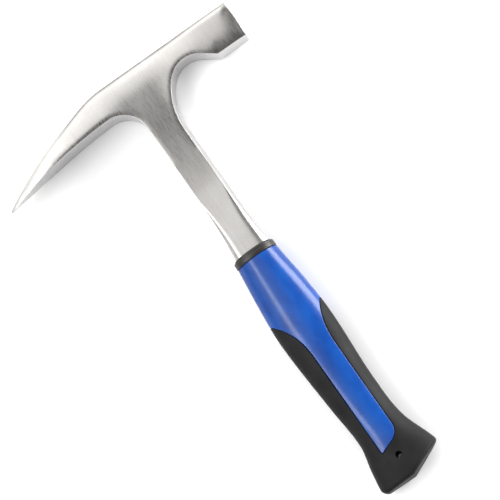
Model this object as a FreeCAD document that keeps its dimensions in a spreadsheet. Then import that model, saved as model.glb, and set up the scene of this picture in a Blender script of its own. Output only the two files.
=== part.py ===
import FreeCAD, Part
import math
import os
import Sketcher

# Rock hammer: a one-piece forged head and shank whose tang runs down inside a moulded grip.
# It lies on its side.  +X points to the striking face, +Y from the butt to the head, +Z up
# through its thickness.  Inside the sketches x = 0 is the middle of the shank, y = 0 the end
# of the butt and z = 0 the middle of the thickness; restPlace then lays the hammer on z = 0
# with the origin under the middle of its outline.

SIZES = {
    # overall
    "overall_length": 285.0,        # flat top of the head to the end of the butt
    "pick_reach": 100.8,            # middle of the shank to the tip of the pick
    "poll_reach": 69.0,             # middle of the shank to the striking face
    "head_thick": 24.0,
    # striking end
    "poll_depth": 22.8,
    "poll_length": 19.4,            # straight block behind the striking face
    "face_crown": 0.6,
    "face_chamfer": 1.2,
    # hollow between the striking block and the shank
    "arch_offset": 31.2,
    "arch_cover": 13.6,             # steel left between the hollow and the top
    "arch_radius": 15.8,
    "neck_radius": 42.0,
    # pick
    "spine_start": 18.0,            # where the flat top begins to droop
    "spine_radius": 60.0,
    "spine_long_radius": 500.0,
    "pick_drop": 27.2,              # tip below the flat top
    "pick_root_depth": 17.7,
    "underside_radius": 330.0,
    "pick_fillet": 16.0,
    "nose_radius": 1.2,
    "taper_start": 58.0,            # where the sides of the pick begin to close in
    # shank
    "shank_width": 17.0,
    "thinning_start": 34.0,         # below the top, where the shank begins to thin
    "flare_length": 38.0,
    "flare_width": 22.2,            # shank where it enters the collar
    "shank_thick": 14.0,
    "seat_depth": 8.0,              # shank's shoulder below the top of the collar
    "bevel_length": 62.0,
    "bevel_width": 4.4,
    "bevel_depth": 3.6,
    # tang inside the grip
    "tang_width": 15.0,
    "tang_thick": 7.0,
    "tang_end": 32.0,               # above the end of the butt
    "key_hole": 7.0,
    "key_hole_pitch": 32.0,
    # inner sleeve moulded round the tang
    "sleeve_wall": 1.1,             # beside the flare
    "sleeve_face_wall": 2.8,        # over the flat of the shank
    "tang_wall": 2.3,
    "tang_face_wall": 2.1,
    "sleeve_crown": 1.0,
    "sleeve_end": 28.0,
    "lip_height": 1.0,              # sleeve standing above the collar
    # collar ring
    "collar_height": 4.5,
    "collar_wall": 1.2,
    "collar_step": 0.2,             # collar stands this much outside the grip
    "collar_rounding": 0.5,
    # outside of the grip: drops are below its top, heights are above the end of the butt
    "grip_length": 153.7,
    "grip_crown": 3.5,
    "breast_drop": 21.0,
    "breast_left": 15.6,
    "breast_right": 15.4,
    "breast_thick": 22.8,
    "swell_drop": 48.7,
    "swell_left": 17.6,
    "swell_right": 17.0,
    "swell_thick": 23.8,
    "waist_height": 60.0,
    "waist_left": 15.4,
    "waist_right": 15.2,
    "waist_thick": 23.0,
    "hook_height": 33.0,
    "hook_wall": 0.7,               # grip body left between sleeve and cover on the pick side
    "hook_right": 16.7,
    "hook_thick": 22.4,
    "heel_height": 15.0,
    "heel_left": 16.8,
    "heel_right": 22.9,
    "heel_thick": 23.0,
    "butt_left": 19.2,
    "butt_right": 27.6,
    "butt_thick": 23.8,
    "butt_flat": 2.2,               # where the end of the butt turns up
    "butt_rise": 9.2,
    "butt_corner": 24.2,
    "butt_rounding": 1.5,
    # rubber cover and the window the grip body shows through
    "cover_thick": 3.0,
    "core_lap": 6.0,                # core under the cover starts this far above the shoulders
    "core_end": 22.0,
    "shoulder_drop": 35.7,
    "shoulder_fall": 30.0,          # height over which the shoulders narrow to the window
    "shoulder_width": 38.0,
    "window_left": 6.0,
    "window_right": 9.0,
    "window_low": 19.4,
    "window_rise": 5.5,
    "window_corner": 9.0,
    # lanyard hole
    "lanyard_radius": 2.0,
    "lanyard_height": 14.0,
    "lanyard_offset": 1.8,
}

doc = FreeCAD.newDocument("RockHammer")
sheet = doc.addObject("Spreadsheet::Sheet", "sizes")
for row, (alias, value) in enumerate(SIZES.items(), start=1):
    sheet.set(f"A{row}", alias.replace("_", " "))
    sheet.set(f"B{row}", str(value))
    sheet.setAlias(f"B{row}", alias)
doc.recompute()

REST_PLACE = {
    "x": "(sizes.pick_reach - sizes.poll_reach) / 2",
    "y": "-sizes.overall_length / 2",
    "z": "max(sizes.head_thick; sizes.swell_thick) / 2",
}
COLLAR_TOP = "sizes.grip_length + sizes.collar_height"
SEAT = f"{COLLAR_TOP} - sizes.seat_depth"
TOP = "sizes.overall_length"
BREAST = "sizes.grip_length - sizes.breast_drop"
SWELL = "sizes.grip_length - sizes.swell_drop"
SHOULDER = "(sizes.grip_length - sizes.shoulder_drop)"
THROAT = "sizes.flare_width / 2 + sizes.sleeve_wall + sizes.collar_wall - sizes.collar_step"
THROAT_THICK = "sizes.shank_thick + 2 * (sizes.sleeve_face_wall + sizes.collar_wall - sizes.collar_step)"


def number(formula):
    """Value of a formula of the sheet."""
    return float(sheet.evalExpression(str(formula)))


def makeBody(label):
    body = doc.addObject("PartDesign::Body", label)
    body.Label = label
    for axis, formula in REST_PLACE.items():
        body.setExpression(f"Placement.Base.{axis}", formula)
    return body


def makeSketch(body, name, role, offset=None):
    """Sketch on one of the body's own planes, moved along the plane's normal by a formula."""
    sketch = body.newObject("Sketcher::SketchObject", name)
    plane = next(item for item in body.Origin.OriginFeatures if item.Role == role)
    sketch.AttachmentSupport = (plane, [""])
    sketch.MapMode = "FlatFace"
    if offset is not None:
        sketch.setExpression("AttachmentOffset.Base.z", offset)
    return sketch


def bind(sketch, constraint, formula):
    index = sketch.addConstraint(constraint)
    sketch.setExpression(f"Constraints[{index}]", str(formula))


def pin(sketch, edge, point, across=None, up=None):
    """Hold a point of an edge (1 start, 2 end, 3 centre) at formulas from the sketch's origin."""
    for kind, formula in (("DistanceX", across), ("DistanceY", up)):
        if formula is None:
            continue
        if abs(number(formula)) < 1e-9:
            axis = -2 if kind == "DistanceX" else -1
            sketch.addConstraint(Sketcher.Constraint("PointOnObject", edge, point, axis))
        else:
            value = number(formula)
            bind(sketch, Sketcher.Constraint(kind, -1, 1, edge, point, value), formula)


def at(across, up):
    """Point of a sketch at a pair of formulas."""
    return FreeCAD.Vector(number(across), number(up), 0)


def onCircle(centre, radius, degrees):
    turn = math.radians(degrees)
    return centre + FreeCAD.Vector(radius * math.cos(turn), radius * math.sin(turn), 0)


def heading(start, end):
    return math.degrees(math.atan2(end.y - start.y, end.x - start.x))


def apexLeft(first, firstReach, second, secondReach):
    """Point at two given distances from two points, on the left of the way from first to second."""
    way = second - first
    along = (firstReach ** 2 - secondReach ** 2 + way.Length ** 2) / (2 * way.Length)
    aside = math.sqrt(firstReach ** 2 - along ** 2)
    way.normalize()
    return first + way * along + FreeCAD.Vector(-way.y, way.x, 0) * aside


def addLine(sketch, start, end):
    return sketch.addGeometry(Part.LineSegment(start, end)), 1, 2


def addArc(sketch, centre, radius, fromAngle, toAngle):
    """Arc as (edge, point it leaves from, point it arrives at), either way round."""
    low, high = sorted((math.radians(fromAngle), math.radians(toAngle)))
    circle = Part.Circle(centre, FreeCAD.Vector(0, 0, 1), radius)
    edge = sketch.addGeometry(Part.ArcOfCircle(circle, low, high))
    return (edge, 1, 2) if toAngle > fromAngle else (edge, 2, 1)


def join(sketch, first, second, kind="Coincident"):
    sketch.addConstraint(Sketcher.Constraint(kind, first[0], first[2], second[0], second[1]))


def bindRadius(sketch, arc, formula):
    bind(sketch, Sketcher.Constraint("Radius", arc[0], number(formula)), formula)


def polygon(sketch, corners):
    """Closed outline of straight edges with every corner pinned at its pair of formulas."""
    spots = [at(*corner) for corner in corners]
    edges = [addLine(sketch, spot, spots[(n + 1) % len(spots)]) for n, spot in enumerate(spots)]
    for n, edge in enumerate(edges):
        join(sketch, edge, edges[(n + 1) % len(edges)])
        pin(sketch, edge[0], 1, *corners[n])


def throughCut(body, name, sketch):
    pocket = body.newObject("PartDesign::Pocket", name)
    pocket.Profile = sketch
    pocket.Type = "ThroughAll"
    pocket.SideType = "Symmetric"
    return pocket


def middlePad(body, name, sketch, thickness):
    pad = body.newObject("PartDesign::Pad", name)
    pad.Profile = sketch
    pad.SideType = "Symmetric"
    pad.setExpression("Length", thickness)
    return pad


# ---- steel forging: pick, poll, shank and tang in one piece ----

HALF_SHANK = "sizes.shank_width / 2"
HALF_FLARE = "sizes.flare_width / 2"
HALF_FLAT = "sizes.shank_thick / 2"
FLARE_START = f"{COLLAR_TOP} + sizes.flare_length"
FLARE_STEP = f"({HALF_FLARE} - {HALF_SHANK})"
FLARE_RUN = "(sizes.flare_length + sizes.seat_depth)"
FLARE_RADIUS = f"({FLARE_STEP} ^ 2 + {FLARE_RUN} ^ 2) / (2 * {FLARE_STEP})"
THINNING_TOP = f"{TOP} - sizes.thinning_start"
THINNING_RUN = f"({THINNING_TOP} - ({SEAT}))"
THINNING_STEP = "((sizes.head_thick - sizes.shank_thick) / 2)"
THINNING_RADIUS = f"({THINNING_STEP} ^ 2 + {THINNING_RUN} ^ 2) / (2 * {THINNING_STEP})"


def forgingOutline(body):
    """Side view of head and shank, drawn clockwise from the start of the flat top."""
    sketch = makeSketch(body, "ForgingOutline", "XY_Plane")
    top = number(TOP)
    halfShank = number(HALF_SHANK)
    faceX = "sizes.poll_reach - sizes.face_crown"
    pollY = f"{TOP} - sizes.poll_depth"
    cornerX = f"{faceX} - sizes.poll_length"
    faceRadius = "(sizes.poll_depth ^ 2 / 4 + sizes.face_crown ^ 2) / (2 * sizes.face_crown)"

    # flat top, slightly crowned striking face, underside of the striking block
    spineStart = FreeCAD.Vector(-number("sizes.spine_start"), top, 0)
    faceTop = FreeCAD.Vector(number(faceX), top, 0)
    faceLow = FreeCAD.Vector(number(faceX), number(pollY), 0)
    corner = FreeCAD.Vector(number(cornerX), number(pollY), 0)
    faceReach = number(faceRadius)
    faceHalf = math.degrees(math.asin(number("sizes.poll_depth") / 2 / faceReach))
    faceHub = FreeCAD.Vector(number("sizes.poll_reach") - faceReach, (faceTop.y + faceLow.y) / 2, 0)
    flatTop = addLine(sketch, spineStart, faceTop)
    face = addArc(sketch, faceHub, faceReach, faceHalf, -faceHalf)
    underPoll = addLine(sketch, faceLow, corner)

    # hollow: a straight ramp into a round arch, then a wide sweep into the shank
    archRadius = number("sizes.arch_radius")
    neckRadius = number("sizes.neck_radius")
    archHub = FreeCAD.Vector(
        number("sizes.arch_offset"), number(f"{TOP} - sizes.arch_cover - sizes.arch_radius"), 0
    )
    rampAngle = heading(archHub, corner)
    rampAngle += math.degrees(math.acos(archRadius / (corner - archHub).Length))
    neckAcross = halfShank + neckRadius - archHub.x
    neckDown = math.sqrt((neckRadius - archRadius) ** 2 - neckAcross ** 2)
    neckHub = archHub + FreeCAD.Vector(neckAcross, -neckDown, 0)
    neckAngle = heading(neckHub, archHub)
    ramp = addLine(sketch, corner, onCircle(archHub, archRadius, rampAngle))
    arch = addArc(sketch, archHub, archRadius, rampAngle, neckAngle)
    neck = addArc(sketch, neckHub, neckRadius, neckAngle, 180)

    # shank, flaring where it enters the grip
    flareTop = number(FLARE_START)
    seat = number(SEAT)
    halfFlare = number(HALF_FLARE)
    flareReach = number(FLARE_RADIUS)
    flareTurn = math.degrees(math.asin(number(FLARE_RUN) / flareReach))
    rightHub = FreeCAD.Vector(halfShank + flareReach, flareTop, 0)
    leftHub = FreeCAD.Vector(-halfShank - flareReach, flareTop, 0)
    shankRight = addLine(
        sketch, FreeCAD.Vector(halfShank, neckHub.y, 0), FreeCAD.Vector(halfShank, flareTop, 0)
    )
    flareRight = addArc(sketch, rightHub, flareReach, 180, 180 + flareTurn)
    shoulder = addLine(
        sketch, FreeCAD.Vector(halfFlare, seat, 0), FreeCAD.Vector(-halfFlare, seat, 0)
    )
    flareLeft = addArc(sketch, leftHub, flareReach, -flareTurn, 0)

    # pick: fillet off the shank, long hollow underside, blunt nose, drooping spine
    noseRadius = number("sizes.nose_radius")
    underRadius = number("sizes.underside_radius")
    filletRadius = number("sizes.pick_fillet")
    spineRadius = number("sizes.spine_radius")
    longRadius = number("sizes.spine_long_radius")
    noseHub = FreeCAD.Vector(
        -number("sizes.pick_reach - sizes.nose_radius"), number(f"{TOP} - sizes.pick_drop"), 0
    )
    underY = number(f"{TOP} - sizes.pick_root_depth - sizes.underside_radius")
    underRise = noseHub.y - underY
    underRun = math.sqrt((underRadius + noseRadius) ** 2 - underRise ** 2)
    underHub = FreeCAD.Vector(noseHub.x + underRun, underY, 0)
    filletX = -halfShank - filletRadius
    filletRise = math.sqrt((underRadius - filletRadius) ** 2 - (filletX - underHub.x) ** 2)
    filletHub = FreeCAD.Vector(filletX, underY + filletRise, 0)
    spineHub = spineStart - FreeCAD.Vector(0, spineRadius, 0)
    longHub = apexLeft(spineHub, longRadius - spineRadius, noseHub, longRadius - noseRadius)
    underAngle = heading(underHub, filletHub)
    tipAngle = heading(underHub, noseHub)
    noseAngle = heading(longHub, noseHub)
    spineAngle = heading(longHub, spineHub)
    shankLeft = addLine(
        sketch, FreeCAD.Vector(-halfShank, flareTop, 0), FreeCAD.Vector(-halfShank, filletHub.y, 0)
    )
    fillet = addArc(sketch, filletHub, filletRadius, 0, underAngle)
    underside = addArc(sketch, underHub, underRadius, underAngle, tipAngle)
    nose = addArc(sketch, noseHub, noseRadius, tipAngle + 180, noseAngle)
    longSpine = addArc(sketch, longHub, longRadius, noseAngle, spineAngle)
    spine = addArc(sketch, spineHub, spineRadius, spineAngle, 90)

    # corners
    join(sketch, flatTop, face)
    join(sketch, face, underPoll)
    join(sketch, underPoll, ramp)
    join(sketch, flareRight, shoulder)
    join(sketch, shoulder, flareLeft)
    smooth = (
        (ramp, arch), (arch, neck), (neck, shankRight), (shankRight, flareRight),
        (flareLeft, shankLeft), (shankLeft, fillet), (fillet, underside),
        (underside, nose), (nose, longSpine), (longSpine, spine), (spine, flatTop),
    )
    for first, second in smooth:
        join(sketch, first, second, "Tangent")

    # places and radii
    pin(sketch, flatTop[0], 1, "-sizes.spine_start", TOP)
    pin(sketch, flatTop[0], 2, faceX, TOP)
    pin(sketch, underPoll[0], 1, faceX, pollY)
    pin(sketch, underPoll[0], 2, cornerX, pollY)
    pin(sketch, arch[0], 3, "sizes.arch_offset", f"{TOP} - sizes.arch_cover - sizes.arch_radius")
    pin(sketch, shankRight[0], 1, HALF_SHANK)
    pin(sketch, shankRight[0], 2, HALF_SHANK, FLARE_START)
    pin(sketch, shoulder[0], 1, HALF_FLARE, SEAT)
    pin(sketch, shoulder[0], 2, f"-{HALF_FLARE}", SEAT)
    pin(sketch, shankLeft[0], 1, f"-{HALF_SHANK}", FLARE_START)
    pin(sketch, shankLeft[0], 2, f"-{HALF_SHANK}")
    pin(sketch, nose[0], 3, "-(sizes.pick_reach - sizes.nose_radius)", f"{TOP} - sizes.pick_drop")
    pin(sketch, underside[0], 3, up=f"{TOP} - sizes.pick_root_depth - sizes.underside_radius")
    bindRadius(sketch, face, faceRadius)
    bindRadius(sketch, arch, "sizes.arch_radius")
    bindRadius(sketch, neck, "sizes.neck_radius")
    bindRadius(sketch, fillet, "sizes.pick_fillet")
    bindRadius(sketch, underside, "sizes.underside_radius")
    bindRadius(sketch, nose, "sizes.nose_radius")
    bindRadius(sketch, longSpine, "sizes.spine_long_radius")
    bindRadius(sketch, spine, "sizes.spine_radius")
    return sketch


def sideWedges(sketch, start, end, wide, narrow, radius, hubAtStart):
    """Two mirrored wedges outside a bar that thins from wide to narrow along the sketch's x.

    The side is an arc level with the bar at its start or at its end.
    """
    clear = f"{wide} + 2"
    reach = number(radius)
    for side in (1, -1):
        wideY = f"{side} * {wide}"
        narrowY = f"{side} * {narrow}"
        clearY = f"{side} * ({clear})"
        if hubAtStart:
            hub = FreeCAD.Vector(number(start), number(wideY) - side * reach, 0)
        else:
            hub = FreeCAD.Vector(number(end), number(narrowY) + side * reach, 0)
        first = FreeCAD.Vector(number(start), number(wideY), 0)
        last = FreeCAD.Vector(number(end), number(narrowY), 0)
        outerLast = FreeCAD.Vector(last.x, number(clearY), 0)
        outerFirst = FreeCAD.Vector(first.x, number(clearY), 0)
        fromAngle = heading(hub, first)
        toAngle = heading(hub, last)
        if abs(toAngle - fromAngle) > 180:
            toAngle += math.copysign(360, fromAngle - toAngle)
        edges = [
            addArc(sketch, hub, reach, fromAngle, toAngle),
            addLine(sketch, last, outerLast),
            addLine(sketch, outerLast, outerFirst),
            addLine(sketch, outerFirst, first),
        ]
        for n, edge in enumerate(edges):
            join(sketch, edge, edges[(n + 1) % 4])
        pin(sketch, edges[1][0], 1, end, narrowY)
        pin(sketch, edges[2][0], 1, end, clearY)
        pin(sketch, edges[3][0], 1, start, clearY)
        pin(sketch, edges[3][0], 2, start, wideY)
        bindRadius(sketch, edges[0], radius)


def bevelCorner(sketch, across, up, sideX, sideZ):
    """Triangle whose long side cuts the shank's corner at the bevel's slope."""
    run = "3 * sizes.bevel_width"
    fall = "3 * sizes.bevel_depth"
    polygon(sketch, (
        (f"{sideX} * ({across} - {run})", f"{sideZ} * ({up} + {fall})"),
        (f"{sideX} * ({across} + {run})", f"{sideZ} * ({up} + {fall})"),
        (f"{sideX} * ({across} + {run})", f"{sideZ} * ({up} - {fall})"),
    ))


def makeForging():
    body = makeBody("steel_forging")
    middlePad(body, "ForgingBlank", forgingOutline(body), "sizes.head_thick")

    # seen from the butt, the sides of the pick close in to the tip
    pickSides = makeSketch(body, "PickSides", "XZ_Plane")
    run = "(sizes.pick_reach - sizes.taper_start)"
    step = "(sizes.head_thick / 2 - sizes.nose_radius)"
    sideWedges(
        pickSides, "-sizes.taper_start", "-sizes.pick_reach", "sizes.head_thick / 2",
        "sizes.nose_radius", f"({run} ^ 2 + {step} ^ 2) / (2 * {step})", True,
    )
    throughCut(body, "PickTaper", pickSides)

    # seen from the side, the shank thins in a long sweep down to the grip
    shankSides = makeSketch(body, "ShankSides", "YZ_Plane")
    sideWedges(
        shankSides, THINNING_TOP, SEAT, "sizes.head_thick / 2", HALF_FLAT, THINNING_RADIUS, False,
    )
    throughCut(body, "ShankThinning", shankSides)

    # bevels that grow towards the grip on all four corners of the shank
    bevelTop = f"{SEAT} + sizes.bevel_length"
    flatThere = f"({HALF_FLAT} + sizes.bevel_length ^ 2 / (2 * ({THINNING_RADIUS})))"
    for sideX in (1, -1):
        for sideZ in (1, -1):
            tag = ("Right" if sideX > 0 else "Left") + ("Near" if sideZ > 0 else "Far")
            start = makeSketch(body, f"BevelStart{tag}", "XZ_Plane", f"-({bevelTop})")
            bevelCorner(start, HALF_SHANK, flatThere, sideX, sideZ)
            end = makeSketch(body, f"BevelEnd{tag}", "XZ_Plane", f"-({SEAT} - 1)")
            bevelCorner(
                end, f"({HALF_FLARE} - sizes.bevel_width / 2)",
                f"({HALF_FLAT} - sizes.bevel_depth / 2)", sideX, sideZ,
            )
            bevel = body.newObject("PartDesign::SubtractiveLoft", f"Bevel{tag}")
            bevel.Profile = start
            bevel.Sections = [end]
            bevel.Ruled = True

    # flat tang with a round end, and holes that key it to the sleeve
    tang = makeSketch(body, "TangOutline", "XY_Plane")
    halfTang = "sizes.tang_width / 2"
    endY = f"sizes.tang_end + {halfTang}"
    rootY = f"{SEAT} + 2"
    hub = FreeCAD.Vector(0, number(endY), 0)
    half = number(halfTang)
    leftRoot = FreeCAD.Vector(-half, number(rootY), 0)
    rightRoot = FreeCAD.Vector(half, number(rootY), 0)
    leftSide = addLine(tang, leftRoot, FreeCAD.Vector(-half, hub.y, 0))
    roundEnd = addArc(tang, hub, half, 180, 360)
    rightSide = addLine(tang, FreeCAD.Vector(half, hub.y, 0), rightRoot)
    across = addLine(tang, rightRoot, leftRoot)
    join(tang, leftSide, roundEnd, "Tangent")
    join(tang, roundEnd, rightSide, "Tangent")
    join(tang, rightSide, across)
    join(tang, across, leftSide)
    pin(tang, roundEnd[0], 3, "0", endY)
    bindRadius(tang, roundEnd, halfTang)
    pin(tang, across[0], 1, halfTang, rootY)
    pin(tang, across[0], 2, f"-{halfTang}", rootY)
    middlePad(body, "Tang", tang, "sizes.tang_thick")

    holes = makeSketch(body, "KeyHoles", "XY_Plane")
    for n in range(3):
        height = f"{endY} + {n} * sizes.key_hole_pitch"
        circle = Part.Circle(FreeCAD.Vector(0, number(height), 0), FreeCAD.Vector(0, 0, 1), 1)
        hole = holes.addGeometry(circle)
        pin(holes, hole, 3, "0", height)
        bind(holes, Sketcher.Constraint("Diameter", hole, number("sizes.key_hole")), "sizes.key_hole")
    throughCut(body, "KeyHolesCut", holes)
    doc.recompute()

    # chamfer round the striking face
    steel = body.Tip
    faceEdges = [
        f"Edge{n}" for n, edge in enumerate(steel.Shape.Edges, start=1)
        if edge.BoundBox.XMin > number("sizes.poll_reach - sizes.face_crown") - 0.01
    ]
    chamfer = body.newObject("PartDesign::Chamfer", "FaceChamfer")
    chamfer.Base = (steel, faceEdges)
    chamfer.setExpression("Size", "sizes.face_chamfer")
    return body


# ---- grip: oval sections lofted along the handle ----

def ovalSection(body, name, height, left, right, half, crown):
    """Four-arc oval across the handle; its round ends are smaller than the thickness by crown."""
    sketch = makeSketch(body, name, "XZ_Plane", f"-({height})")
    endRadius = f"({half} - {crown})"
    spread = f"(({left} + {right}) / 2 - {endRadius})"
    faceRadius = f"({spread} ^ 2 + ({half}) ^ 2 - {endRadius} ^ 2) / (2 * {crown})"
    rightHubX = f"{right} - {endRadius}"
    leftHubX = f"-({left}) + {endRadius}"
    tip = number(endRadius)
    bow = number(faceRadius)
    rightHub = FreeCAD.Vector(number(rightHubX), 0, 0)
    leftHub = FreeCAD.Vector(number(leftHubX), 0, 0)
    middle = (rightHub + leftHub) / 2
    upperHub = middle - FreeCAD.Vector(0, bow - number(half), 0)
    lowerHub = middle + FreeCAD.Vector(0, bow - number(half), 0)
    turn = heading(upperHub, rightHub)
    rightEnd = addArc(sketch, rightHub, tip, -turn, turn)
    upper = addArc(sketch, upperHub, bow, turn, 180 - turn)
    leftEnd = addArc(sketch, leftHub, tip, 180 - turn, 180 + turn)
    lower = addArc(sketch, lowerHub, bow, 180 + turn, 360 - turn)
    edges = (rightEnd, upper, leftEnd, lower)
    for n, edge in enumerate(edges):
        join(sketch, edge, edges[(n + 1) % 4], "Tangent")
    pin(sketch, rightEnd[0], 3, rightHubX, "0")
    pin(sketch, leftEnd[0], 3, leftHubX, "0")
    for edge, formula in zip(edges, (endRadius, faceRadius, endRadius, faceRadius)):
        bindRadius(sketch, edge, formula)
    return sketch


def makeLoft(body, name, sections):
    loft = body.newObject("PartDesign::AdditiveLoft", name)
    loft.Profile = sections[0]
    loft.Sections = sections[1:]
    return loft


HOOK_LEFT = "(sizes.tang_width / 2 + sizes.tang_wall + sizes.hook_wall + sizes.cover_thick)"
GRIP_SECTIONS = (
    # name, height, left, right, half thickness
    ("Throat", "sizes.grip_length", THROAT, THROAT, f"({THROAT_THICK}) / 2"),
    ("Breast", BREAST, "sizes.breast_left", "sizes.breast_right",
     "sizes.breast_thick / 2"),
    ("Swell", SWELL, "sizes.swell_left", "sizes.swell_right",
     "sizes.swell_thick / 2"),
    ("Waist", "sizes.waist_height", "sizes.waist_left", "sizes.waist_right",
     "sizes.waist_thick / 2"),
    ("Hook", "sizes.hook_height", HOOK_LEFT, "sizes.hook_right",
     "sizes.hook_thick / 2"),
    ("Heel", "sizes.heel_height", "sizes.heel_left", "sizes.heel_right",
     "sizes.heel_thick / 2"),
    ("Butt", "0", "sizes.butt_left", "sizes.butt_right", "sizes.butt_thick / 2"),
)


def makeGripForm():
    """Whole outside of the grip, with the turned-up butt and the lanyard hole."""
    body = makeBody("GripForm")
    sections = [
        ovalSection(body, f"Grip{name}", height, left, right, half, "sizes.grip_crown")
        for name, height, left, right, half in GRIP_SECTIONS
    ]
    makeLoft(body, "GripLoft", sections)

    buttEdge = makeSketch(body, "ButtEdge", "XY_Plane")
    far = "2 * sizes.butt_right"
    slope = "sizes.butt_rise / (sizes.butt_corner - sizes.butt_flat)"
    polygon(buttEdge, (
        ("sizes.butt_flat", "0"),
        (far, f"({far} - sizes.butt_flat) * {slope}"),
        (far, "-2"),
        ("sizes.butt_flat", "-2"),
    ))
    throughCut(body, "ButtTurnUp", buttEdge)

    lanyard = makeSketch(body, "LanyardHole", "XY_Plane")
    spot = FreeCAD.Vector(number("sizes.lanyard_offset"), number("sizes.lanyard_height"), 0)
    hole = lanyard.addGeometry(Part.Circle(spot, FreeCAD.Vector(0, 0, 1), 1))
    pin(lanyard, hole, 3, "sizes.lanyard_offset", "sizes.lanyard_height")
    bindRadius(lanyard, (hole,), "sizes.lanyard_radius")
    throughCut(body, "LanyardHoleCut", lanyard)
    doc.recompute()

    # rounding round the end of the butt
    solid = body.Tip
    ends = [
        face for face in solid.Shape.Faces
        if isinstance(face.Surface, Part.Plane) and face.normalAt(0, 0).y < -0.5
        and face.CenterOfMass.y < number("sizes.heel_height")
    ]
    outline = [
        f"Edge{n}" for n, edge in enumerate(solid.Shape.Edges, start=1)
        if sum(any(edge.isSame(rim) for rim in face.Edges) for face in ends) == 1
    ]
    rounding = body.newObject("PartDesign::Fillet", "ButtRounding")
    rounding.Base = (solid, outline)
    rounding.setExpression("Radius", "sizes.butt_rounding")
    return body


def makeCoreForm():
    """Part of the grip body that lies under the rubber cover."""
    body = makeBody("CoreForm")
    inset = "sizes.cover_thick"
    grip = {name: (left, right, half) for name, height, left, right, half in GRIP_SECTIONS}
    stations = (
        ("CoreTop", f"{SHOULDER} + sizes.core_lap", "Swell"),
        ("CoreSwell", SWELL, "Swell"),
        ("CoreWaist", "sizes.waist_height", "Waist"),
        ("CoreHook", "sizes.hook_height", "Hook"),
        ("CoreEnd", "sizes.core_end", "Hook"),
    )
    sections = []
    for name, height, like in stations:
        left, right, half = (f"({formula} - {inset})" for formula in grip[like])
        sections.append(ovalSection(body, name, height, left, right, half, "sizes.grip_crown"))
    loft = makeLoft(body, "CoreLoft", sections)
    loft.Ruled = True
    return body


def makeWindowForm():
    """Prism through the grip: full width above the shoulders, narrow window down to a slanted end."""
    body = makeBody("WindowForm")
    sketch = makeSketch(body, "WindowOutline", "XY_Plane")
    top = "sizes.grip_length + 1"
    wide = "sizes.shoulder_width / 2"
    shoulder = SHOULDER
    straight = f"{SHOULDER} - sizes.shoulder_fall"
    leftX = "-sizes.window_left"
    rightX = "sizes.window_right"
    rise = "sizes.shoulder_fall"
    rightStep = f"({wide} - sizes.window_right)"
    leftStep = f"({wide} - sizes.window_left)"
    rightRadius = f"({rightStep} ^ 2 + {rise} ^ 2) / (2 * {rightStep})"
    leftRadius = f"({leftStep} ^ 2 + {rise} ^ 2) / (2 * {leftStep})"
    lowY = "sizes.window_low"
    cornerY = "sizes.window_low + sizes.window_rise"

    rightReach = number(rightRadius)
    leftReach = number(leftRadius)
    rightTurn = math.degrees(math.asin(number(rise) / rightReach))
    leftTurn = math.degrees(math.asin(number(rise) / leftReach))
    rightHub = at(f"{rightX} + {rightRadius}", straight)
    leftHub = at(f"{leftX} - {leftRadius}", straight)
    slant = heading(at(leftX, lowY), at(rightX, cornerY))
    bend = number("sizes.window_corner")
    cornerHub = FreeCAD.Vector(
        number(rightX) - bend,
        number(cornerY) + bend * (1 / math.cos(math.radians(slant)) - math.tan(math.radians(slant))),
        0,
    )

    ceiling = addLine(sketch, at(f"-{wide}", top), at(wide, top))
    sideRight = addLine(sketch, at(wide, top), at(wide, shoulder))
    shoulderRight = addArc(sketch, rightHub, rightReach, 180 - rightTurn, 180)
    edgeRight = addLine(sketch, at(rightX, straight), cornerHub + FreeCAD.Vector(bend, 0, 0))
    corner = addArc(sketch, cornerHub, bend, 0, slant - 90)
    slanted = addLine(sketch, onCircle(cornerHub, bend, slant - 90), at(leftX, lowY))
    edgeLeft = addLine(sketch, at(leftX, lowY), at(leftX, straight))
    shoulderLeft = addArc(sketch, leftHub, leftReach, 0, leftTurn)
    sideLeft = addLine(sketch, at(f"-{wide}", shoulder), at(f"-{wide}", top))
    target = sketch.addGeometry(Part.Point(at(rightX, cornerY)), True)

    join(sketch, ceiling, sideRight)
    join(sketch, sideRight, shoulderRight)
    join(sketch, shoulderRight, edgeRight, "Tangent")
    join(sketch, edgeRight, corner, "Tangent")
    join(sketch, corner, slanted, "Tangent")
    join(sketch, slanted, edgeLeft)
    join(sketch, edgeLeft, shoulderLeft, "Tangent")
    join(sketch, shoulderLeft, sideLeft)
    join(sketch, sideLeft, ceiling)
    pin(sketch, target, 1, rightX, cornerY)
    sketch.addConstraint(Sketcher.Constraint("PointOnObject", target, 1, slanted[0]))
    pin(sketch, ceiling[0], 1, f"-{wide}", top)
    pin(sketch, ceiling[0], 2, wide, top)
    pin(sketch, sideRight[0], 2, wide, shoulder)
    pin(sketch, edgeRight[0], 1, rightX, straight)
    pin(sketch, edgeRight[0], 2, rightX)
    pin(sketch, edgeLeft[0], 1, leftX, lowY)
    pin(sketch, edgeLeft[0], 2, leftX, straight)
    pin(sketch, sideLeft[0], 1, f"-{wide}", shoulder)
    bindRadius(sketch, corner, "sizes.window_corner")
    middlePad(body, "WindowPrism", sketch, "2 * sizes.swell_thick")
    return body


# ---- inner sleeve and collar ring ----

SLEEVE_HALF = f"({HALF_FLARE} + sizes.sleeve_wall)"
SLEEVE_FACE = f"({HALF_FLAT} + sizes.sleeve_face_wall)"
SLEEVE_LOW_HALF = "(sizes.tang_width / 2 + sizes.tang_wall)"
SLEEVE_LOW_FACE = "(sizes.tang_thick / 2 + sizes.tang_face_wall)"


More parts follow.
